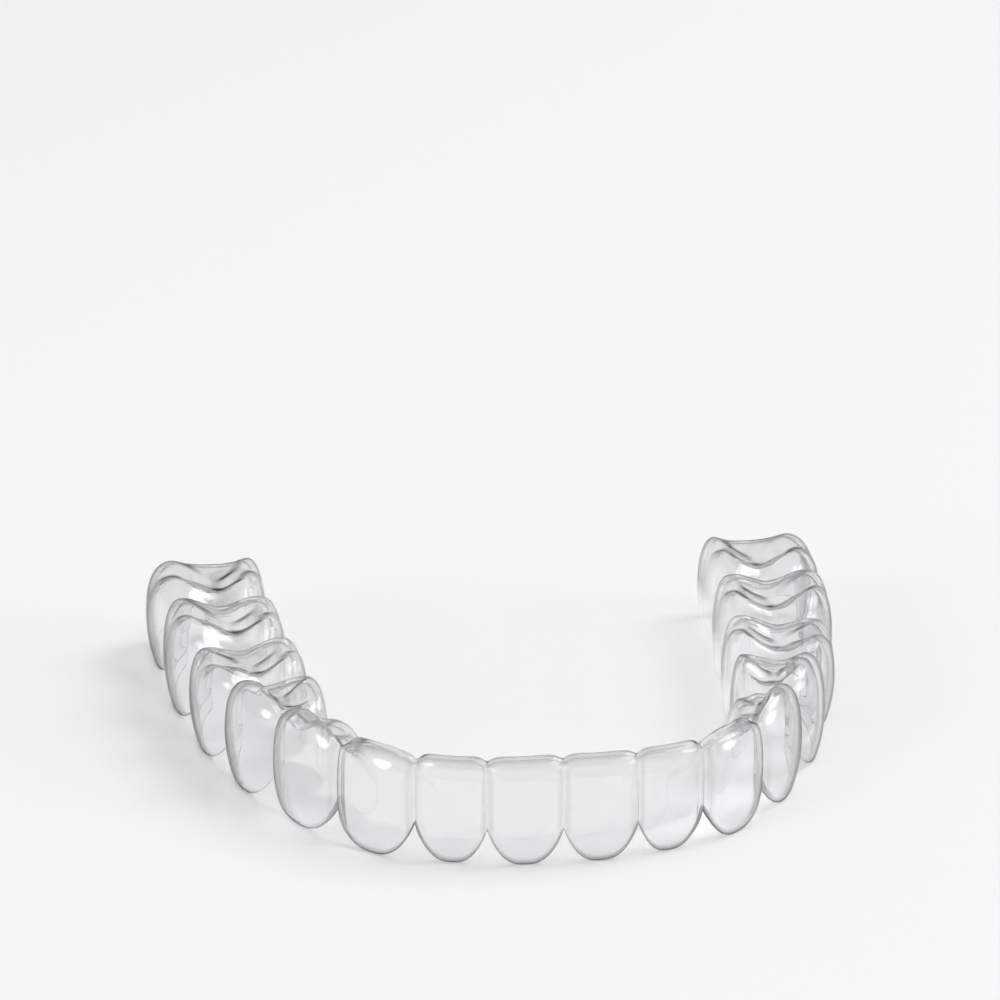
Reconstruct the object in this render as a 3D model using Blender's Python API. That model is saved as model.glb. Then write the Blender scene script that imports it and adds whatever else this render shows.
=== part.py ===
"""Clear aligner for a lower arch of sixteen teeth, drawn from one sheet and open underneath.

Metres, +Z up. It stands on its trimmed edge at z = 0, with the front teeth towards -Y and the arch
open towards +Y. The origin is the middle of its footprint, and x = 0 is the midline.

Each half has two skins, the outside and the hollow, and both are grids. Their columns follow the
arch from the midline to the last molar. Their rows go over the tooth, from the cheek side edge
across the biting surface to the tongue side edge. The rim joins the skins.
"""

import math
from collections import namedtuple

import bmesh
import bpy
from mathutils import Vector

MM = 0.001

# The sheet, as thin as it is once drawn over the teeth, and thinnest over the biting surfaces
SHEET_THICKNESS = 0.4 * MM
TOP_THINNING = 0.7
NARROWEST_HOLLOW = 0.15 * MM

# The arch line runs through the contact points between the teeth
ARCH_HALF_WIDTH = 22.8 * MM
ARCH_DEPTH = 45.8 * MM
ARCH_SQUARENESS = 3.33
ARCH_SAMPLES = 600

# Lengths of the eight teeth of one half, in millimetres from the midline to the back: central and
# lateral incisor, canine, two premolars and three molars. "cheek" and "tongue" are how far the
# walls stand from the arch line, and "tuck" is how far the cheek wall turns in at the edge. The ridges
# are the lines of cusps, or the two sides of a biting edge. "groove" is the height of the biting
# surface between the ridges, "middle" is how far that groove lies from the arch line, and
# "marginal" is its height just before the next tooth. The embrasures and "notch" are how much
# walls and ridges fall back between two teeth, "cleft" is the dip between two cusps, and the rises
# are how far the edges climb between two teeth.
TEETH_MM = {
    "width": (5.4, 5.1, 6.4, 7.5, 7.3, 7.8, 9.6, 10.6),
    "cheek": (1.4, 1.0, 1.7, 2.5, 3.6, 4.5, 5.2, 5.9),
    "tongue": (4.2, 4.2, 4.2, 3.6, 3.8, 4.6, 4.6, 4.2),
    "tuck": (0.7, 0.7, 0.7, 0.6, 0.6, 0.6, 0.6, 0.6),
    "cheek_ridge": (0.45, 0.45, 0.6, 0.8, 1.8, 3.0, 3.5, 3.5),
    "tongue_ridge": (0.45, 0.45, 0.6, 2.2, 3.0, 3.3, 3.2, 2.7),
    "cheek_height": (8.0, 8.2, 8.4, 8.9, 8.5, 8.0, 8.8, 8.4),
    "tongue_height": (8.0, 8.2, 8.3, 7.2, 8.0, 8.2, 8.4, 8.4),
    "groove": (8.15, 8.35, 8.6, 6.9, 6.4, 6.3, 6.6, 6.6),
    "middle": (0.0, 0.0, 0.0, -0.8, -0.4, -0.1, 0.0, 0.2),
    "marginal": (8.15, 8.35, 8.3, 7.1, 7.0, 6.9, 7.2, 7.3),
    "cheek_embrasure": (0.6, 0.6, 1.0, 1.7, 1.9, 2.1, 2.2, 2.2),
    "tongue_embrasure": (0.3, 0.3, 0.5, 1.2, 1.6, 1.9, 2.0, 2.0),
    "notch": (0.4, 0.5, 0.8, 1.6, 1.6, 1.4, 1.4, 1.4),
    "cleft": (0.0, 0.0, 0.0, 0.0, 0.0, 0.7, 0.8, 0.7),
    "cheek_rise": (2.7, 2.8, 3.2, 3.8, 4.0, 4.0, 3.9, 3.6),
    "tongue_rise": (1.4, 1.4, 1.8, 2.6, 3.2, 3.4, 3.4, 3.2),
}
# Shapes of the same teeth. "cusps" is their number on each side of the groove, and "flatness" is
# how square the line of cusps is along the tooth. "roundness" is that of the edge: 1 gives a
# parabola and 0.5 an ellipse. "lean" is how much fuller wall and edge are on a tooth's back half
# than on its front half. "scoop" is 1 where the tongue side is hollowed out behind a biting edge,
# and 0 where it is a full wall. "columns" is odd, so that two stand over the level foot.
TEETH_SHAPES = {
    "cusps": (1, 1, 1, 1, 1, 2, 2, 2),
    "flatness": (6.0, 5.0, 2.4, 2.0, 2.2, 3.0, 3.0, 3.0),
    "roundness": (0.9, 0.9, 0.75, 0.5, 0.5, 0.5, 0.5, 0.5),
    "lean": (0.0, 0.0, 0.2, 0.4, 0.4, 0.4, 0.4, 0.4),
    "scoop": (1.0, 1.0, 0.9, 0.3, 0.0, 0.0, 0.0, 0.0),
    "columns": (9, 9, 9, 9, 9, 11, 11, 11),
}

# Walls
CONTOUR_HEIGHT = 3.4 * MM
WALL_SQUARENESS = 2.4
PLAN_SQUARENESS = 2.5
TONGUE_TUCK = 0.5
FOOT_PLACE = 0.18
WALL_ROWS = 5
SLOPE_ROWS = 3
CONTACT_RIDGE = 0.75
CONTACT_DROP = 0.7
HOLLOW_SHORTENING = 0.6

# Biting surface, with places from 0 in the middle of a tooth to 1 at the contact. A slope from a
# ridge to the groove is full below a cusp and hollow beside it.
PAIRED_CUSP_PLACE = 0.45
CUSP_WIDTH = 0.24
CLEFT_WIDTH = 0.2
MARGINAL_PLACE = 0.74
FULL_SLOPE = 0.55
HOLLOW_SLOPE = 1.9

# Back end of the last molar
END_START = 0.4
END_COLUMNS = 5
END_SQUARENESS = 2.4
END_RISE = 1.6 * MM

MIRROR_MERGE = 0.02 * MM

Tooth = namedtuple("Tooth", [*TEETH_MM, *TEETH_SHAPES])
Section = namedtuple(
    "Section",
    "cheek tongue tuck cheek_ridge tongue_ridge cheek_height tongue_height groove middle slope "
    "scoop cheek_rise tongue_rise",
)


def clear_scene():
    for leftover in list(bpy.data.objects):
        bpy.data.objects.remove(leftover)


def half_set():
    """The eight teeth of one half, with their lengths in metres."""
    lengths = zip(*([value * MM for value in row] for row in TEETH_MM.values()))
    return [Tooth(*length, *shape) for length, shape in zip(lengths, zip(*TEETH_SHAPES.values()))]


class ArchLine:
    """A quarter superellipse from the midline to the back, measured along its own length."""

    def __init__(self):
        self.points = []
        for i in range(ARCH_SAMPLES + 1):
            angle = (i / ARCH_SAMPLES) ** (ARCH_SQUARENESS / 2) * math.pi / 2
            across = ARCH_HALF_WIDTH * math.sin(angle) ** (2 / ARCH_SQUARENESS)
            self.points.append(Vector((across, ARCH_DEPTH * (1 - math.cos(angle)), 0)))
        self.lengths = [0.0]
        for here, following in zip(self.points, self.points[1:]):
            self.lengths.append(self.lengths[-1] + (following - here).length)

    def at(self, length):
        """The point at a length from the midline, the way along the arch and the way to the cheek."""
        last = len(self.points) - 1
        i = next((k for k in range(last) if self.lengths[k + 1] >= length), last - 1)
        share = (length - self.lengths[i]) / (self.lengths[i + 1] - self.lengths[i])
        point = self.points[i].lerp(self.points[i + 1], share)
        around = self.points[min(i + 3, last)] - self.points[max(i - 2, 0)]
        along = around.normalized() if length > 0 else Vector((1, 0, 0))
        return point, along, Vector((along.y, -along.x, 0))


def blend(start, end, share):
    return start + (end - start) * share


def contact_section(tooth, neighbour):
    """The section between two teeth, halfway between what each of them gives there."""

    def of(side):
        return Section(
            cheek=side.cheek - side.cheek_embrasure,
            tongue=side.tongue - side.tongue_embrasure,
            tuck=side.tuck,
            cheek_ridge=side.cheek_ridge * CONTACT_RIDGE,
            tongue_ridge=side.tongue_ridge * CONTACT_RIDGE,
            cheek_height=side.cheek_height - side.notch,
            tongue_height=side.tongue_height - side.notch,
            groove=side.marginal - side.notch * CONTACT_DROP,
            middle=side.middle,
            slope=HOLLOW_SLOPE,
            scoop=side.scoop,
            cheek_rise=side.cheek_rise,
            tongue_rise=side.tongue_rise,
        )

    return Section(*((a + b) / 2 for a, b in zip(of(tooth), of(neighbour))))


def tooth_section(tooth, contact, place, inset):
    """The section at a place on a tooth, from 0 at its middle to -1 or 1 at the contact.

    The hollow is the same form with an inset. It is also shorter along the arch, so that the
    sheet keeps its thickness where the walls turn in towards the next tooth.
    """
    away = min(abs(place) / (1 - HOLLOW_SHORTENING * inset / (tooth.width / 2)), 1)
    lean = tooth.lean if place < 0 else -tooth.lean
    swell = math.sqrt(1 - away ** (PLAN_SQUARENESS * (1 - lean)))
    crest = 1 - away**tooth.flatness
    cleft = tooth.cleft * math.exp(-((place / CLEFT_WIDTH) ** 2))
    beside_cusp = abs(place) - (PAIRED_CUSP_PLACE if tooth.cusps == 2 else 0)
    past_foot = max(abs(place) - FOOT_PLACE, 0) / (1 - FOOT_PLACE)
    climb = 1 - (1 - past_foot**2) ** (tooth.roundness * (1 + lean))
    top_inset = inset * TOP_THINNING
    if away < MARGINAL_PLACE:
        share = math.sin(away / MARGINAL_PLACE * math.pi / 2) ** 2
        groove = blend(tooth.groove, tooth.marginal, share)
    else:
        share = math.cos((away - MARGINAL_PLACE) / (1 - MARGINAL_PLACE) * math.pi / 2) ** 2
        groove = blend(contact.groove, tooth.marginal, share)

    def hollowed(offset):
        return max(offset - inset, min(offset, NARROWEST_HOLLOW))

    return Section(
        cheek=hollowed(blend(contact.cheek, tooth.cheek, swell)),
        tongue=hollowed(blend(contact.tongue, tooth.tongue, swell)),
        tuck=blend(contact.tuck, tooth.tuck, swell),
        cheek_ridge=hollowed(blend(contact.cheek_ridge, tooth.cheek_ridge, swell)),
        tongue_ridge=hollowed(blend(contact.tongue_ridge, tooth.tongue_ridge, swell)),
        cheek_height=blend(contact.cheek_height, tooth.cheek_height, crest) - cleft - top_inset,
        tongue_height=blend(contact.tongue_height, tooth.tongue_height, crest) - cleft - top_inset,
        groove=groove - top_inset,
        middle=blend(contact.middle, tooth.middle, 1 - away),
        slope=blend(HOLLOW_SLOPE, FULL_SLOPE, math.exp(-((beside_cusp / CUSP_WIDTH) ** 2))),
        scoop=blend(contact.scoop, tooth.scoop, 1 - away),
        cheek_rise=contact.cheek_rise * climb,
        tongue_rise=contact.tongue_rise * climb,
    )


def wall_offset(height, bulge, tuck, ridge, top, scoop):
    """How far a wall stands from the arch line at a height."""
    if height < CONTOUR_HEIGHT:
        return bulge - tuck * ((CONTOUR_HEIGHT - height) / CONTOUR_HEIGHT) ** 2
    up = min((height - CONTOUR_HEIGHT) / (top - CONTOUR_HEIGHT), 1)
    full = (1 - up**WALL_SQUARENESS) ** (1 / WALL_SQUARENESS)
    hollow = math.cos(up * math.pi / 2) ** 2
    return blend(ridge, bulge, blend(full, hollow, scoop))


def half_profile(section, rise, bulge, tuck, ridge, middle, top, scoop):
    """(offset, height) of the rows from one edge up the wall and down towards the groove."""
    rows = []
    for i in range(WALL_ROWS):
        height = blend(rise, top, math.sin(i / WALL_ROWS * math.pi / 2))
        rows.append((wall_offset(height, bulge, tuck, ridge, top, scoop), height))
    for i in range(SLOPE_ROWS):
        out = 1 - i / SLOPE_ROWS
        climb = math.sin(out * math.pi / 2) ** (2 * section.slope)
        rows.append((blend(middle, ridge, out), blend(section.groove, top, climb)))
    return rows


def profile(section):
    """(offset, height) of every row, where an offset towards the cheek is positive."""
    s = section
    cheek = half_profile(
        s, s.cheek_rise, s.cheek, s.tuck, s.cheek_ridge, s.middle, s.cheek_height, 0
    )
    tuck = s.tuck * TONGUE_TUCK
    tongue = half_profile(
        s, s.tongue_rise, s.tongue, tuck, s.tongue_ridge, -s.middle, s.tongue_height, s.scoop
    )
    mirrored = [(-offset, height) for offset, height in reversed(tongue)]
    return cheek + [(s.middle, s.groove)] + mirrored


def column(arch, length, section):
    point, _, outward = arch.at(length)
    return [point + outward * offset + Vector((0, 0, height)) for offset, height in profile(section)]


def superellipse_size(direction):
    """How far a superellipse of size one reaches in a direction."""
    return sum(abs(part) ** END_SQUARENESS for part in direction) ** (-1 / END_SQUARENESS)


def end_columns(arch, length, reach, section):
    """Columns that turn the last section over the back of the molar and down to its edge."""
    point, along, outward = arch.at(length)
    tall = section.cheek_height - section.cheek_rise
    cheek_side = section.cheek, section.cheek_rise
    tongue_side = section.tongue, section.tongue_rise
    columns = []
    for k in range(1, END_COLUMNS + 1):
        turn = k / END_COLUMNS
        points = []
        for offset, height in profile(section):
            wide, rise = cheek_side if offset > 0 else tongue_side
            base = blend(rise, END_RISE, turn)
            start = Vector((offset / wide, 0, (height - rise) / tall))
            final_angle = math.pi / 4 + math.atan2(start.z, start.x) / 2
            final = Vector((math.cos(final_angle), math.sin(final_angle), 0))
            way = start.normalized().slerp(final, turn)
            fit = start.length / superellipse_size(start.normalized())
            size = blend(fit, 1, turn) * superellipse_size(way)
            level = outward * (way.x * size * wide) + along * (way.y * size * reach)
            points.append(point + level + Vector((0, 0, base + way.z * size * tall)))
        columns.append(points)
    return columns


def skin_columns(inset):
    """The columns of one half of a skin: the outside with no inset, the hollow with one."""
    arch = ArchLine()
    teeth = half_set()
    columns = []
    passed = 0.0
    for i, tooth in enumerate(teeth):
        is_last = tooth is teeth[-1]
        before = contact_section(teeth[max(i - 1, 0)], tooth)
        after = contact_section(tooth, tooth if is_last else teeth[i + 1])
        for k in range(0 if i == 0 else 1, tooth.columns + 1):
            place = math.sin((2 * k / tooth.columns - 1) * math.pi / 2)
            if is_last and place > END_START:
                break
            section = tooth_section(tooth, before if place < 0 else after, place, inset)
            columns.append(column(arch, passed + tooth.width * (1 + place) / 2, section))
        passed += tooth.width
    end_length = teeth[-1].width * (1 - END_START) / 2
    section = tooth_section(teeth[-1], after, END_START, inset)
    return columns + end_columns(arch, passed - end_length, end_length - inset, section)


def add_skin(form, columns, centre):
    """A grid bent to the columns."""
    grid = bmesh.ops.create_grid(
        form, x_segments=len(columns[0]) - 1, y_segments=len(columns) - 1, size=1
    )
    for vertex, point in zip(grid["verts"], (point for points in columns for point in points)):
        vertex.co = point - centre


def shell_mesh():
    outside = skin_columns(0)
    hollow = skin_columns(SHEET_THICKNESS)
    reach = [point.y for points in outside for point in points]
    centre = Vector((0, (min(reach) + max(reach)) / 2, 0))
    form = bmesh.new()
    add_skin(form, outside, centre)
    add_skin(form, hollow, centre)
    rim = [e for e in form.edges if e.is_boundary and any(v.co.x > MIRROR_MERGE for v in e.verts)]
    bmesh.ops.bridge_loops(form, edges=rim)
    bmesh.ops.recalc_face_normals(form, faces=form.faces)
    mesh = bpy.data.meshes.new("aligner_shell")
    form.to_mesh(mesh)
    form.free()
    return mesh


def clear_plastic():
    material = bpy.data.materials.new("clear_plastic")
    material.use_nodes = True
    shader = material.node_tree.nodes["Principled BSDF"]
    shader.inputs["Base Color"].default_value = (0.94, 0.95, 0.96, 1)
    shader.inputs["Roughness"].default_value = 0.05
    shader.inputs["Metallic"].default_value = 0.0
    shader.inputs["IOR"].default_value = 1.5
    shader.inputs["Transmission Weight"].default_value = 1.0
    return material


def build():
    clear_scene()
    mesh = shell_mesh()
    mesh.materials.append(clear_plastic())
    mesh.shade_smooth()
    shell = bpy.data.objects.new("aligner_shell", mesh)
    bpy.context.scene.collection.objects.link(shell)
    mirror = shell.modifiers.new("other_half", "MIRROR")
    mirror.use_axis = (True, False, False)
    mirror.merge_threshold = MIRROR_MERGE


build()
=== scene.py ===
import math

import bmesh
import bpy
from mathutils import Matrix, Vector


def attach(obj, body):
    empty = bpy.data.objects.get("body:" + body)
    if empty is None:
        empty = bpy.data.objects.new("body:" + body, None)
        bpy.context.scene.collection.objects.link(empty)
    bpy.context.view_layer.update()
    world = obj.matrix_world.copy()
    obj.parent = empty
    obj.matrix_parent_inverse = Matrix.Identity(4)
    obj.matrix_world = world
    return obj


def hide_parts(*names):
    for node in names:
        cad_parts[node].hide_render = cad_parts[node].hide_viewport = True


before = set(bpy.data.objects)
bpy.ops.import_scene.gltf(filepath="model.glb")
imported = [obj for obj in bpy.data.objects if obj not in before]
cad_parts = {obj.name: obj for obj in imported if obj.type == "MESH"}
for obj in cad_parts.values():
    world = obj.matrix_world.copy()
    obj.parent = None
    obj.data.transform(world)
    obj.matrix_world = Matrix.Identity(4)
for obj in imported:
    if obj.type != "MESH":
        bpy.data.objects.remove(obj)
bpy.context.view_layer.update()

mm = 0.001


# a colour mix has its share and its two colours at these inputs, and its result at this output
mixShare, mixA, mixB, mixed = 0, 6, 7, 2


# small helpers

def hexColour(text):
    # sRGB hex to the linear values that the shaders take, by the standard curve
    parts = [int(text[i:i + 2], 16) / 255 for i in (1, 3, 5)]
    return [p / 12.92 if p <= 0.04045 else ((p + 0.055) / 1.055) ** 2.4 for p in parts] + [1.0]


def blend(start, end, share):
    return start + (end - start) * share


def ramp(value, start, end):
    # 0 up to the start, 1 from the end on, even between them
    return min(max((value - start) / (end - start), 0), 1)


def addNode(tree, kind, settings=None, links=None):
    # settings by socket or property, links as input: (node, output), sockets by name or number
    node = tree.nodes.new(kind)
    for name, value in (settings or {}).items():
        if isinstance(name, int) or name in node.inputs:
            node.inputs[name].default_value = value
        else:
            setattr(node, name, value)
    for name, (source, output) in (links or {}).items():
        tree.links.new(source.outputs[output], node.inputs[name])
    return node


# the aligner: one clear sheet drawn over sixteen lower teeth

aligner = {
    "sheet": 0.4,  # thickness after drawing, mm
    "topThinning": 0.7,  # the sheet's share of its thickness left over the biting surfaces
    "thinnestHollow": 0.15,  # mm, the least that the hollow stands off the arch line
    "archHalfWidth": 22.8,  # mm, of the line that the teeth stand along
    "archDepth": 45.8,
    "archSquareness": 3.33,
    "archSteps": 1200,
    "archSmoothing": 5,  # steps to each side over which the way along the arch is taken
    "seam": 0.01,  # mm from the midline within which the two halves are joined
    "contourHeight": 3.4,  # where the walls stand out most
    "wallSquareness": 2.4,
    "planSquareness": 2.5,
    "tongueTuck": 0.5,  # how much of the cheek wall's tuck the tongue wall has
    "footPlace": 0.18,  # the level part of the edge below each tooth
    "contactRidge": 0.75,  # how far out the ridges still stand between two teeth
    "contactDrop": 0.7,  # how much of the notch the groove has there
    "hollowShortening": 0.6,  # how much of the wall each end of a tooth's hollow gives up
    "pairedCuspPlace": 0.45,
    "cuspWidth": 0.24,
    "cleftWidth": 0.2,
    "marginalPlace": 0.74,
    "fullSlope": 0.55,
    "hollowSlope": 1.9,
    "endStart": 0.4,  # the place on the last molar where its end starts to turn over
    "endSquareness": 2.4,
    "endRise": 1.6,  # mm, the edge's height at the very back
    "frontLean": 0.2,  # how much of its lean a margin has on its side towards the front
    "foldTurns": 8.5,  # radians of the folds' wave from the middle of a tooth to its contact
    "foldShift": 0.6,  # radians, so that the folds of the two sides don't line up
    "edgeDrop": 0.014,  # what the rounding of the trimmed edge takes off, mm
    "hollowEdgeShade": 0.8,  # how much of the outside's painted edge shade the hollow has
    # mm from the front where the looks of the front teeth start, and where they are full
    "frontLooks": (14.0, 9.0),
    "thinBite": (8.0, 5.0),  # the same for the bite as a narrow rim
    # painted shade along that rim, row by row from the lips to the tongue
    "paintedBiteShade": (0.1, 0.4, 0.25, 0.05, 0.0, 0.0, 0.0, 0.05, 0.2, 0.6, 0.9, 0.8, 0.35, 0.1),
    "paintedContactShade": (0.0, 0.08, 0.2),  # painted shade beside the contacts between teeth, from the contact outwards, column by column
    "paintedEdgeLine": 0.7,  # painted shade: a dark line along the trimmed edge on the cheek side
    "edgeLineRow": 0.25,  # how wide that painted line is, in rows
    "footReach": 0.6,  # how far from the middle of a back tooth the painted edge line goes
    "filmRows": (0.5, 2.8),  # rows past the tongue's ridge where the film starts and is full
    "fadingRows": (5, 7),  # the same for the loss of painted edge shade low on the tongue wall
    "tongueEdgeShade": 0.9,  # painted edge shade left on the tongue walls of the back teeth
    "paintedFoldStrokes": 0.45,  # painted shade: darkness of the strokes painted over the folds of the bite
    # share of plain see-through in the tongue walls
    "filmAtFront": 0.92,
    "filmAtBack": 0.85,
    "wallRows": 8,
    "slopeRows": 5,
    "endColumns": 8,
    # from the midline to the back: two incisors, the canine, two premolars and three molars, mm
    "teeth": {
        "width": (5.4, 5.1, 6.4, 7.5, 7.3, 7.8, 9.6, 10.6),
        "cheek": (1.4, 1.0, 1.7, 2.5, 3.6, 4.5, 5.2, 5.9),
        "tongue": (4.2, 4.2, 4.2, 3.6, 3.8, 4.6, 4.6, 4.2),
        "tuck": (0.7, 0.7, 0.7, 0.6, 0.6, 0.6, 0.6, 0.6),
        "cheekRidge": (0.45, 0.45, 0.6, 0.8, 1.8, 3.0, 3.5, 3.5),
        "tongueRidge": (0.45, 0.45, 0.6, 2.2, 3.0, 3.3, 3.2, 2.7),
        "cheekHeight": (8.0, 8.05, 8.15, 8.9, 8.5, 7.85, 8.8, 8.4),
        "tongueHeight": (8.0, 8.05, 8.05, 7.2, 8.0, 8.2, 8.4, 8.4),
        "groove": (8.15, 8.2, 8.35, 6.9, 6.4, 6.3, 6.6, 6.6),
        "middle": (0.0, 0.0, 0.0, -0.8, -0.4, -0.1, 0.0, 0.2),
        "marginal": (8.15, 8.2, 8.1, 7.1, 7.0, 6.9, 7.2, 7.3),
        "fold": (0.0, 0.0, 0.0, 0.2, 0.38, 0.6, 0.65, 0.65),
        "cheekEmbrasure": (0.6, 0.6, 1.0, 1.7, 1.9, 2.1, 2.2, 2.2),
        "tongueEmbrasure": (0.3, 0.3, 0.5, 1.2, 1.6, 1.9, 2.0, 2.0),
        "notch": (0.4, 0.5, 0.8, 1.6, 1.6, 1.4, 1.4, 1.4),
        "cleft": (0.0, 0.0, 0.0, 0.0, 0.0, 0.7, 0.8, 0.7),
        "cheekRise": (2.7, 2.8, 3.2, 3.8, 4.0, 4.0, 3.9, 3.6),
        "tongueRise": (1.4, 1.4, 1.8, 2.6, 3.2, 3.4, 3.4, 3.2),
        "cusps": (1, 1, 1, 1, 1, 2, 2, 2),
        "flatness": (6.0, 5.0, 2.4, 2.0, 2.2, 3.0, 3.0, 3.0),
        "roundness": (0.9, 0.9, 0.75, 0.5, 0.5, 0.5, 0.5, 0.5),
        "lean": (0.0, 0.0, 0.2, 0.4, 0.4, 0.4, 0.4, 0.4),
        "scoop": (1.0, 1.0, 0.9, 0.3, 0.0, 0.0, 0.0, 0.0),
        "columns": (15, 15, 15, 15, 15, 19, 19, 19),
    },
}


def archPoints():
    # a quarter superellipse from the midline to the back, with the length passed at each point
    squareness, steps = aligner["archSquareness"], aligner["archSteps"]
    points, lengths = [], [0.0]
    for i in range(steps + 1):
        angle = (i / steps) ** (squareness / 2) * math.pi / 2
        across = aligner["archHalfWidth"] * math.sin(angle) ** (2 / squareness)
        points.append(Vector((across, aligner["archDepth"] * (1 - math.cos(angle)), 0)))
    for here, following in zip(points, points[1:]):
        lengths.append(lengths[-1] + (following - here).length)
    return points, lengths


def archAt(arch, length):
    # the point at a length from the midline, the way along the arch and the way to the cheek
    points, lengths = arch
    last, reach = len(points) - 1, aligner["archSmoothing"]
    i = next((k for k in range(last) if lengths[k + 1] >= length), last - 1)
    share = (length - lengths[i]) / (lengths[i + 1] - lengths[i])
    around = points[min(i + 1 + reach, last)] - points[max(i - reach, 0)]
    along = around.normalized() if length > 0 else Vector((1, 0, 0))
    return points[i].lerp(points[i + 1], share), along, Vector((along.y, -along.x, 0))


def contactSection(tooth, neighbour):
    # between two teeth, halfway between what each of them gives there
    wishes = []
    for side in (tooth, neighbour):
        wishes.append({
            "cheek": side["cheek"] - side["cheekEmbrasure"],
            "tongue": side["tongue"] - side["tongueEmbrasure"],
            "tuck": side["tuck"],
            "cheekRidge": side["cheekRidge"] * aligner["contactRidge"],
            "tongueRidge": side["tongueRidge"] * aligner["contactRidge"],
            "cheekHeight": side["cheekHeight"] - side["notch"],
            "tongueHeight": side["tongueHeight"] - side["notch"],
            "groove": side["marginal"] - side["notch"] * aligner["contactDrop"],
            "middle": side["middle"],
            "scoop": side["scoop"],
            "cheekRise": side["cheekRise"],
            "tongueRise": side["tongueRise"],
        })
    return {name: (wishes[0][name] + wishes[1][name]) / 2 for name in wishes[0]}


def toothSection(tooth, contact, place, inset):
    # at a place from 0 at the middle of a tooth to -1 or 1 at the contact
    away = min(abs(place) / (1 - aligner["hollowShortening"] * inset / (tooth["width"] / 2)), 1)
    leaning = tooth["lean"] * (1 if place < 0 else -1)
    swell = math.sqrt(1 - away ** (aligner["planSquareness"] * (1 - leaning)))
    crest = 1 - away ** tooth["flatness"]
    cleft = tooth["cleft"] * math.exp(-((place / aligner["cleftWidth"]) ** 2))
    besideCusp = abs(place) - (aligner["pairedCuspPlace"] if tooth["cusps"] == 2 else 0)
    pastFoot = max(abs(place) - aligner["footPlace"], 0) / (1 - aligner["footPlace"])
    roundness = tooth["roundness"] * (1 + leaning * (aligner["frontLean"] if place < 0 else 1))
    turn = aligner["marginalPlace"]
    if away < turn:
        groove = blend(tooth["groove"], tooth["marginal"], math.sin(away / turn * math.pi / 2) ** 2)
    else:
        share = math.cos((away - turn) / (1 - turn) * math.pi / 2) ** 2
        groove = blend(contact["groove"], tooth["marginal"], share)

    def swollen(name):
        offset = blend(contact[name], tooth[name], swell)
        return max(offset - inset, min(offset, aligner["thinnestHollow"]))

    climb = 1 - (1 - pastFoot ** 2) ** roundness
    thinned = inset * aligner["topThinning"]
    onCusp = math.exp(-((besideCusp / aligner["cuspWidth"]) ** 2))
    fold = tooth["fold"] * (1 - away ** 2)
    wave = place * aligner["foldTurns"]
    return {
        "cheek": swollen("cheek"),
        "tongue": swollen("tongue"),
        "cheekRidge": swollen("cheekRidge"),
        "tongueRidge": swollen("tongueRidge"),
        "tuck": blend(contact["tuck"], tooth["tuck"], swell),
        "cheekHeight": blend(contact["cheekHeight"], tooth["cheekHeight"], crest) - cleft - thinned,
        "tongueHeight": blend(contact["tongueHeight"], tooth["tongueHeight"], crest) - cleft - thinned,
        "groove": groove - thinned,
        "middle": blend(contact["middle"], tooth["middle"], 1 - away),
        "slope": blend(aligner["hollowSlope"], aligner["fullSlope"], onCusp),
        "scoop": blend(contact["scoop"], tooth["scoop"], 1 - away),
        "cheekRise": contact["cheekRise"] * climb - aligner["edgeDrop"],
        "tongueRise": contact["tongueRise"] * climb - aligner["edgeDrop"],
        "cheekFold": fold * math.sin(wave + aligner["foldShift"]),
        "tongueFold": fold * math.cos(wave),
    }


def wallOffset(height, bulge, tuck, ridge, top, scoop):
    # how far a wall stands from the arch line at a height
    belly = aligner["contourHeight"]
    if height < belly:
        return bulge - tuck * ((belly - height) / belly) ** 2
    up = min((height - belly) / (top - belly), 1)
    full = (1 - up ** aligner["wallSquareness"]) ** (1 / aligner["wallSquareness"])
    hollow = math.cos(up * math.pi / 2) ** 2
    return blend(ridge, bulge, blend(full, hollow, scoop))


def halfProfile(section, side, tuck, middle, scoop):
    # (offset, height) from one edge up the wall and down towards the groove
    bulge, ridge, top = section[side], section[side + "Ridge"], section[side + "Height"]
    wallRows, slopeRows = aligner["wallRows"], aligner["slopeRows"]
    rows = []
    # the second row lies close to the trimmed edge and keeps it crisp
    for i in (0, aligner["edgeLineRow"], *range(1, wallRows)):
        height = blend(section[side + "Rise"], top, math.sin(i / wallRows * math.pi / 2))
        rows.append((wallOffset(height, bulge, tuck, ridge, top, scoop), height))
    for i in range(slopeRows):
        out = 1 - i / slopeRows
        climb = math.sin(out * math.pi / 2) ** (2 * section["slope"])
        fold = section[side + "Fold"] * math.sin(out * math.pi)
        rows.append((blend(middle, ridge, out), blend(section["groove"], top, climb) + fold))
    return rows


def wholeProfile(section):
    middle = section["middle"]
    cheek = halfProfile(section, "cheek", section["tuck"], middle, 0)
    tongue = halfProfile(
        section, "tongue", section["tuck"] * aligner["tongueTuck"], -middle, section["scoop"])
    return cheek + [(middle, section["groove"])] + [(-x, z) for x, z in reversed(tongue)]


def superellipseSize(direction):
    power = aligner["endSquareness"]
    return sum(abs(part) ** power for part in direction) ** (-1 / power)


def endColumns(arch, length, reach, section):
    # the last section turned over the back of the molar and down to its edge
    point, along, outward = archAt(arch, length)
    tall = section["cheekHeight"] - section["cheekRise"]
    columns = []
    for k in range(1, aligner["endColumns"] + 1):
        turn = k / aligner["endColumns"]
        points = []
        for offset, height in wholeProfile(section):
            side = "cheek" if offset > 0 else "tongue"
            wide, rise = section[side], section[side + "Rise"]
            base = blend(rise, aligner["endRise"], turn)
            start = Vector((offset / wide, 0, (height - rise) / tall))
            finalAngle = math.pi / 4 + math.atan2(start.z, start.x) / 2
            final = Vector((math.cos(finalAngle), math.sin(finalAngle), 0))
            way = start.normalized().slerp(final, turn)
            fit = start.length / superellipseSize(start.normalized())
            size = blend(fit, 1, turn) * superellipseSize(way)
            level = outward * (way.x * size * wide) + along * (way.y * size * reach)
            points.append(point + level + Vector((0, 0, base + way.z * size * tall)))
        columns.append(points)
    return columns


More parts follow.
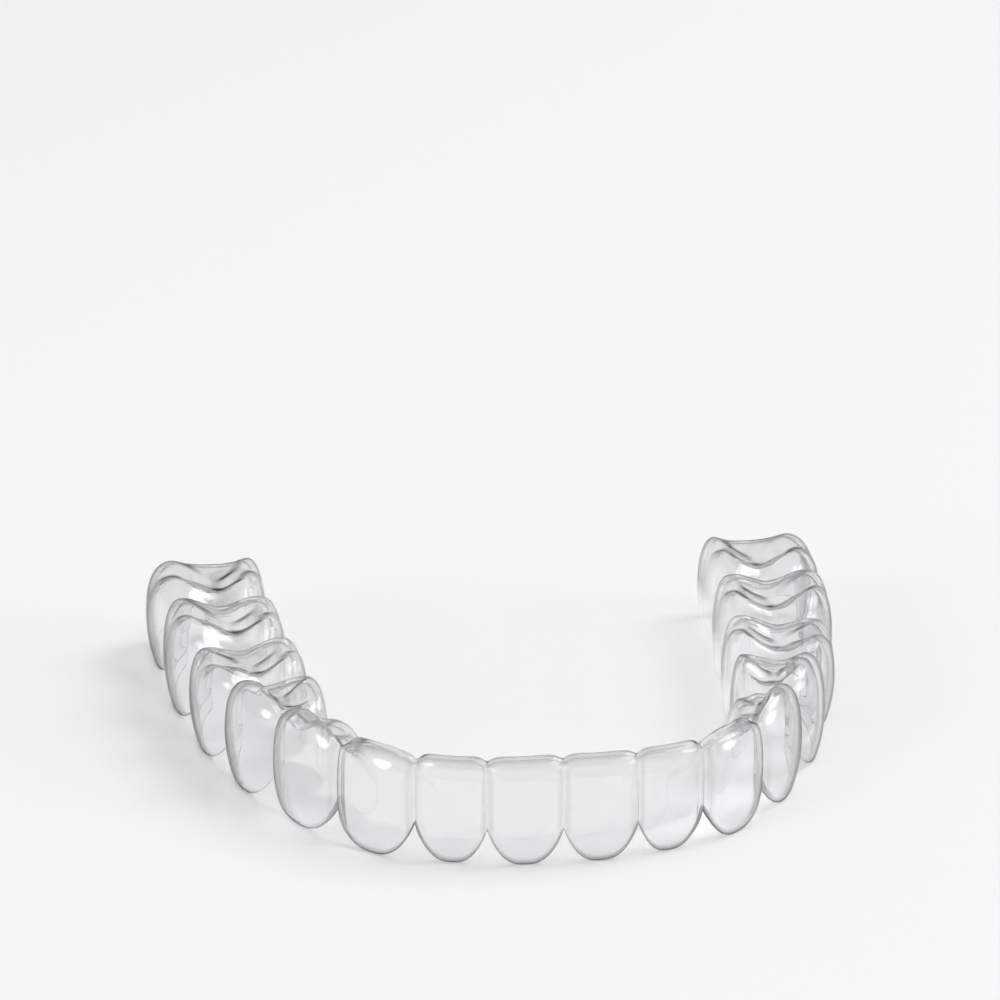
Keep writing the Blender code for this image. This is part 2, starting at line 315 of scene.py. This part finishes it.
def skinColumns(inset):
    # one half of a skin: the outside with no inset, the hollow with the sheet's thickness,
    # and for each column a mark: its painted shade beside a contact and its nearness to the tooth's
    # foot
    arch = archPoints()
    rows = aligner["teeth"]
    teeth = [dict(zip(rows, values)) for values in zip(*rows.values())]
    columns, marks, passed = [], [], 0.0
    for i, tooth in enumerate(teeth):
        isLast = i == len(teeth) - 1
        before = contactSection(teeth[max(i - 1, 0)], tooth)
        after = contactSection(tooth, tooth if isLast else teeth[i + 1])
        for k in range(0 if i == 0 else 1, tooth["columns"] + 1):
            place = math.sin((2 * k / tooth["columns"] - 1) * math.pi / 2)
            if isLast and place > aligner["endStart"]:
                break
            section = toothSection(tooth, before if place < 0 else after, place, inset)
            point, _, outward = archAt(arch, passed + tooth["width"] * (1 + place) / 2)
            columns.append([point + outward * x + Vector((0, 0, z)) for x, z in wholeProfile(section)])
            fromContact = min(k, tooth["columns"] - k)
            isBeside = fromContact < len(aligner["paintedContactShade"])
            onFoot = max(1 - (place / aligner["footReach"]) ** 2, 0)
            marks.append((aligner["paintedContactShade"][fromContact] if isBeside else 0, onFoot))
        passed += tooth["width"]
    endLength = tooth["width"] * (1 - aligner["endStart"]) / 2
    section = toothSection(tooth, after, aligner["endStart"], inset)
    columns += endColumns(arch, passed - endLength, endLength - inset, section)
    return columns, marks + [(0, 0)] * aligner["endColumns"]


def sheetTones(row, y, mark, isOutside):
    # painted shades, film and thinness of the sheet at one point, by the row from the cheek's edge to
    # the tongue's, and the distance from the front
    contactShade, onFoot = mark
    cheekRidge = aligner["wallRows"] + 1
    tongueRidge = cheekRidge + 2 * aligner["slopeRows"]
    rimRow = row - cheekRidge + 1
    behind = ramp(row - tongueRidge, *aligner["filmRows"])
    nearEdge = ramp(row - tongueRidge, *aligner["fadingRows"])
    front = ramp(y, *aligner["frontLooks"])
    thinBite = ramp(y, *aligner["thinBite"])
    lineShade = 0.0
    if row == 0:
        lineShade = aligner["paintedEdgeLine"] * (blend(onFoot, 1, thinBite) if isOutside else thinBite)
    elif row < cheekRidge and isOutside:
        lineShade = contactShade * thinBite
    if isOutside and 0 <= rimRow < len(aligner["paintedBiteShade"]):
        lineShade = max(lineShade, thinBite * aligner["paintedBiteShade"][rimRow])
    onBite = max(1 - abs(row - cheekRidge - aligner["slopeRows"]) / aligner["slopeRows"], 0)
    faded = behind * max(front, nearEdge, 1 - aligner["tongueEdgeShade"])
    return {
        "paintedEdgeShade": (1 if isOutside else aligner["hollowEdgeShade"]) * (1 - faded),
        # the sheet was drawn thinnest on the tongue side, most of all at the front
        "film": behind * blend(aligner["filmAtBack"], aligner["filmAtFront"], front),
        "paintedLineShade": lineShade,
        "paintedFoldStrokes": aligner["paintedFoldStrokes"] * onBite * (1 - front) if isOutside else 0.0,
        "thinness": front,
    }


def makeAligner():
    outside, hollow = skinColumns(0), skinColumns(aligner["sheet"])
    reach = [point.y for points in outside[0] for point in points]
    centre = Vector((0, (min(reach) + max(reach)) / 2, 0))
    form = bmesh.new()
    layers = {name: form.verts.layers.float.new(name)
              for name in ("paintedEdgeShade", "film", "paintedLineShade", "paintedFoldStrokes", "thinness")}
    for columns, marks in (outside, hollow):
        rows = len(columns[0])
        grid = bmesh.ops.create_grid(form, x_segments=rows - 1, y_segments=len(columns) - 1, size=1)
        places = [(row, point, mark) for points, mark in zip(columns, marks)
                  for row, point in enumerate(points)]
        for vert, (row, point, mark) in zip(grid["verts"], places):
            vert.co = point - centre
            for name, value in sheetTones(row, point.y, mark, columns is outside[0]).items():
                vert[layers[name]] = value
    # the trimmed edge, then the other half
    seam = aligner["seam"]
    openEdges = [e for e in form.edges if e.is_boundary and any(v.co.x > seam for v in e.verts)]
    bmesh.ops.bridge_loops(form, edges=openEdges)
    bmesh.ops.mirror(form, geom=form.verts[:] + form.edges[:] + form.faces[:], axis="X",
                     merge_dist=seam)
    bmesh.ops.recalc_face_normals(form, faces=form.faces)
    bmesh.ops.scale(form, vec=(mm, mm, mm), verts=form.verts)
    mesh = bpy.data.meshes.new("alignerSheet")
    form.to_mesh(mesh)
    form.free()
    mesh.shade_smooth()
    piece = bpy.data.objects.new("alignerSheet", mesh)
    bpy.context.scene.collection.objects.link(piece)
    # rounds the trimmed edge and the creases, as polishing and the warm sheet do
    soft = piece.modifiers.new("softened", "SUBSURF")
    soft.levels = soft.render_levels = 1
    return piece


# its plastic: clear copolyester (PETG) sheet, heated and drawn down over a model.
# Water clear with a faint grey, glossy on both faces, and slightly uneven where it was stretched.
# Painted shade darkens it at grazing views, along its trimmed edge, beside contacts, along its biting
# edges and in strokes on the bite.

clearSheet = {
    "tint": "#F6F6F7",
    "frontTint": "#F2F2F3",  # the same at the front teeth
    "paintedEdgeShade": "#0B0C0D",  # painted shade: near black, laid on where the sheet is seen at grazing views and along its painted lines and strokes
    "facingBlend": 0.5,  # the view plainly measured, from 0 face on to 1 fully grazing
    "edgeFrom": 0.5,  # from which grazing view the painted edge shade starts, and where it is full
    "edgeTo": 0.95,
    "edgeSolid": 0.95,  # how much of the light the sheet stops where its painted shade is full
    "ior": 1.1,  # a block of it has 1.57; matched lower, as walls this thin hardly bend the view
    "gloss": 0.03,  # roughness of its two faces
    "polish": 0.11,  # roughness of the polished outer layer, which mirrors the lamps softly
    "stretchMarks": 1.6,  # mm from one soft wave of the drawn sheet to the next
    "stretchDepth": 0.016,  # mm
    "stretchDetail": 1.0,
    "stretchRoughness": 0.4,
    "strokes": 2.0,  # mm from one painted shade stroke on the bite to the next
    "strokesFrom": 0.42,  # the noise's value where a stroke starts, and where it is full
    "strokesTo": 0.8,
    "shadow": "#C8C8C9",  # what the sheet lets a lamp through with
    "thinShadow": "#E8E8E9",  # the same at the front teeth, where it is thinner
}


def drawnCopolyester():
    material = bpy.data.materials.new("drawnCopolyester")
    material.use_nodes = True
    tree = material.node_tree
    tree.nodes.clear()
    place = addNode(tree, "ShaderNodeTexCoord")
    waves = addNode(tree, "ShaderNodeTexNoise",
                    {"Scale": 1 / (clearSheet["stretchMarks"] * mm),
                     "Detail": clearSheet["stretchDetail"],
                     "Roughness": clearSheet["stretchRoughness"]},
                    {"Vector": (place, "Object")})
    bump = addNode(tree, "ShaderNodeBump",
                   {"Strength": 1.0, "Distance": clearSheet["stretchDepth"] * mm},
                   {"Height": (waves, "Fac")})
    # painted shade: the sheet is darkened where it is seen at grazing views, for dark outlines
    facing = addNode(tree, "ShaderNodeLayerWeight", {"Blend": clearSheet["facingBlend"]},
                     {"Normal": (bump, "Normal")})
    grazing = addNode(tree, "ShaderNodeMapRange",
                      {"interpolation_type": "SMOOTHSTEP", "From Min": clearSheet["edgeFrom"],
                       "From Max": clearSheet["edgeTo"]}, {"Value": (facing, "Facing")})
    edgeShadeShare = addNode(tree, "ShaderNodeAttribute", {"attribute_name": "paintedEdgeShade"})
    lineShade = addNode(tree, "ShaderNodeAttribute", {"attribute_name": "paintedLineShade"})
    outlineShade = addNode(tree, "ShaderNodeMath", {"operation": "MULTIPLY_ADD"},
                     {0: (grazing, "Result"), 1: (edgeShadeShare, "Fac"), 2: (lineShade, "Fac")})
    # painted shade: short darker strokes painted over the folds of the bite
    strokeShade = addNode(tree, "ShaderNodeAttribute", {"attribute_name": "paintedFoldStrokes"})
    spread = addNode(tree, "ShaderNodeTexNoise",
                     {"Scale": 1 / (clearSheet["strokes"] * mm), "Detail": 0.0},
                     {"Vector": (place, "Object")})
    paintedStrokes = addNode(tree, "ShaderNodeMapRange",
                       {"interpolation_type": "SMOOTHSTEP", "From Min": clearSheet["strokesFrom"],
                        "From Max": clearSheet["strokesTo"]}, {"Value": (spread, "Fac")})
    paintedShade = addNode(tree, "ShaderNodeMath", {"operation": "MULTIPLY_ADD", "use_clamp": True},
                   {0: (paintedStrokes, "Result"), 1: (strokeShade, "Fac"), 2: (outlineShade, "Value")})
    thinness = addNode(tree, "ShaderNodeAttribute", {"attribute_name": "thinness"})
    tint = addNode(tree, "ShaderNodeMix",
                   {"data_type": "RGBA", mixA: hexColour(clearSheet["tint"]),
                    mixB: hexColour(clearSheet["frontTint"])}, {mixShare: (thinness, "Fac")})
    tintWithShade = addNode(tree, "ShaderNodeMix",
                     {"data_type": "RGBA", mixB: hexColour(clearSheet["paintedEdgeShade"])},
                     {mixShare: (paintedShade, "Value"), mixA: (tint, mixed)})
    clear = addNode(tree, "ShaderNodeMath",
                    {"operation": "MULTIPLY_ADD", 1: -clearSheet["edgeSolid"], 2: 1.0},
                    {0: (paintedShade, "Value")})
    plain = addNode(tree, "ShaderNodeMath", {"operation": "SUBTRACT", 0: 1.0}, {1: (paintedShade, "Value")})
    # the painted shade also darkens the sheet's reflections through Specular Tint and takes the place
    # of its coat
    shell = addNode(tree, "ShaderNodeBsdfPrincipled",
                    {"Roughness": clearSheet["gloss"], "IOR": clearSheet["ior"],
                     "Coat Roughness": clearSheet["polish"]},
                    {"Base Color": (tintWithShade, mixed), "Transmission Weight": (clear, "Value"),
                     "Specular Tint": (tintWithShade, mixed), "Coat Weight": (plain, "Value"),
                     "Normal": (bump, "Normal"), "Coat Normal": (bump, "Normal")})
    # where the sheet was drawn to a film it only shows at its turns
    film = addNode(tree, "ShaderNodeAttribute", {"attribute_name": "film"})
    filmShare = addNode(tree, "ShaderNodeMath", {"operation": "MULTIPLY"},
                        {0: (film, "Fac"), 1: (plain, "Value")})
    seeThrough = addNode(tree, "ShaderNodeBsdfTransparent", {"Color": (1, 1, 1, 1)})
    sheet = addNode(tree, "ShaderNodeMixShader", None,
                    {"Fac": (filmShare, "Value"), 1: (shell, "BSDF"), 2: (seeThrough, "BSDF")})
    passed = addNode(tree, "ShaderNodeMix",
                     {"data_type": "RGBA", mixA: hexColour(clearSheet["shadow"]),
                      mixB: hexColour(clearSheet["thinShadow"])}, {mixShare: (thinness, "Fac")})
    lampLight = addNode(tree, "ShaderNodeBsdfTransparent", None, {"Color": (passed, mixed)})
    path = addNode(tree, "ShaderNodeLightPath")
    mix = addNode(tree, "ShaderNodeMixShader", None,
                  {"Fac": (path, "Is Shadow Ray"), 1: (sheet, "Shader"), 2: (lampLight, "BSDF")})
    addNode(tree, "ShaderNodeOutputMaterial", None, {"Surface": (mix, "Shader")})
    return material


piece = makeAligner()
piece.data.materials.append(drawnCopolyester())
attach(piece, "root")
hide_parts("aligner_shell")
print("aligner made:", len(piece.data.polygons), "faces")


# floor, light and camera

studio = {
    "floorSize": 8.0,  # metres, as are the lamps' places and sizes
    "floor": "#F5F5F5",
    "floorRoughness": 0.9,
    "floorSpecular": 0.1,
    "world": "#FFFFFF",
    "worldLevel": 0.46,
    "key": {"at": (1.9, 0.2, 2.5), "size": 1.9, "watts": 50.0},
    "frontLeft": {"at": (-1.95, -1.3, 0.8), "size": 1.3, "watts": 19.0},
    "frontRight": {"at": (2.15, -0.95, 0.75), "size": 1.3, "watts": 19.0},
    "cameraAt": (-30.28, -216.61, 93.42),  # mm
    "pitch": 18.675,  # degrees down, and degrees to the right
    "yaw": 7.59,
    "lens": 108.0,
    "sensor": 36.0,
    "clipStart": 0.01,
    "crossings": 32,
    "mirrorings": 4,
}


def makeFloor():
    form = bmesh.new()
    bmesh.ops.create_grid(form, x_segments=1, y_segments=1, size=studio["floorSize"] / 2)
    mesh = bpy.data.meshes.new("studioFloor")
    form.to_mesh(mesh)
    form.free()
    floor = bpy.data.objects.new("studioFloor", mesh)
    bpy.context.scene.collection.objects.link(floor)
    # seamless backdrop paper: matt and plain, so that only the light and the shadow show on it
    material = bpy.data.materials.new("backdropPaper")
    material.use_nodes = True
    shader = material.node_tree.nodes["Principled BSDF"]
    shader.inputs["Base Color"].default_value = hexColour(studio["floor"])
    shader.inputs["Roughness"].default_value = studio["floorRoughness"]
    shader.inputs["Specular IOR Level"].default_value = studio["floorSpecular"]
    mesh.materials.append(material)


def makeWorld():
    world = bpy.data.worlds.new("studioWorld")
    bpy.context.scene.world = world
    world.use_nodes = True
    tree = world.node_tree
    tree.nodes.clear()
    plain = addNode(tree, "ShaderNodeBackground",
                    {"Color": hexColour(studio["world"]), "Strength": studio["worldLevel"]})
    addNode(tree, "ShaderNodeOutputWorld", None, {"Surface": (plain, "Background")})


def makeLamp(name):
    lamp = studio[name]
    data = bpy.data.lights.new(name, "AREA")
    data.shape = "DISK"
    data.size = lamp["size"]
    data.energy = lamp["watts"]
    item = bpy.data.objects.new(name, data)
    item.location = lamp["at"]
    item.rotation_euler = (-Vector(lamp["at"])).to_track_quat("-Z", "Y").to_euler()
    bpy.context.scene.collection.objects.link(item)


def makeCamera():
    pitch, yaw = math.radians(studio["pitch"]), math.radians(studio["yaw"])
    way = Vector((math.sin(yaw) * math.cos(pitch), math.cos(yaw) * math.cos(pitch), -math.sin(pitch)))
    data = bpy.data.cameras.new("camera")
    data.lens = studio["lens"]
    data.sensor_width = studio["sensor"]
    data.clip_start = studio["clipStart"]
    camera = bpy.data.objects.new("camera", data)
    camera.location = Vector(studio["cameraAt"]) * mm
    camera.rotation_euler = way.to_track_quat("-Z", "Y").to_euler()
    bpy.context.scene.collection.objects.link(camera)
    bpy.context.scene.camera = camera


makeFloor()
makeWorld()
makeLamp("key")
makeLamp("frontLeft")
makeLamp("frontRight")
makeCamera()
bpy.context.scene.view_settings.view_transform = "Standard"
# enough crossings for the light to find its way out of the sheet, few mirrorings inside it
for kind in ("max_bounces", "transmission_bounces", "transparent_max_bounces"):
    setattr(bpy.context.scene.cycles, kind, studio["crossings"])
bpy.context.scene.cycles.glossy_bounces = studio["mirrorings"]
print("studio made")
